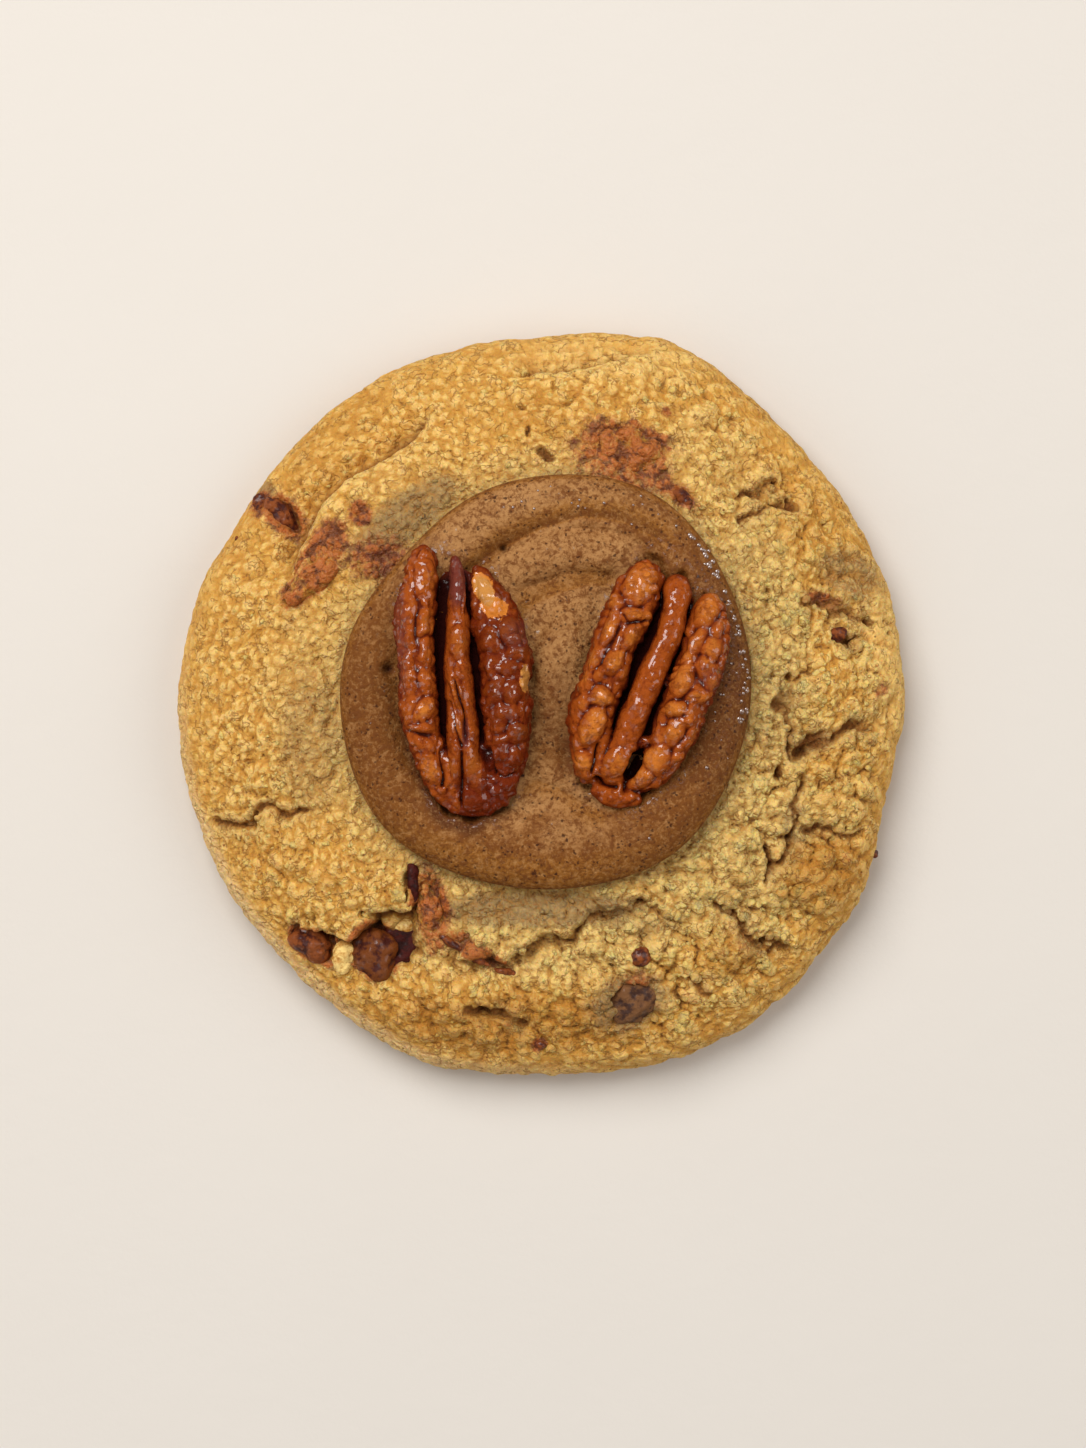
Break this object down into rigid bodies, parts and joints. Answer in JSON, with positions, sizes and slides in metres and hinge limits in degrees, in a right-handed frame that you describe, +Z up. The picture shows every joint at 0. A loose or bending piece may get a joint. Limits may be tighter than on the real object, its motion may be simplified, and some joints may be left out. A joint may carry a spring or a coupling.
{
  "type": "pecan cookie",
  "caption": "Thick crumbly round cookie with a soft spiral of brown icing, glazed pecan halves pressed into it, and nut and toffee lumps in the dough.",
  "frame": {"origin": "on the flat base, under the middle of the cookie", "axes": "+Z up, out of the icing; +Y towards the cookie's far side, the top of a view from above with both pecan halves upright; +X to the right in that view"},
  "size_m": [0.0917, 0.0934, 0.0229],
  "materials": {
    "dough": "baked butter dough, matte, crumbly, with a light sparkle of sugar",
    "icing": "soft brown butter icing, satin, with fine dark specks",
    "pecan": "syrup-glazed pecan, glossy, deeply grooved",
    "toffee": "melted toffee, satin, stained into the dough round it",
    "nut_piece": "baked pecan pieces, satin, wrinkled"
  },
  "bodies": {
    "root": {"cookie_dough": "dough", "icing_spiral": "icing", "pecan_half_left": "pecan", "pecan_half_right": "pecan", "toffee_lump_back": "toffee", "toffee_lump_left": "toffee", "toffee_lump_front": "toffee", "nut_piece_rim": "nut_piece", "nut_piece_front_left": "nut_piece", "nut_piece_front": "nut_piece", "nut_piece_base_side": "nut_piece"}
  },
  "joints": []
}
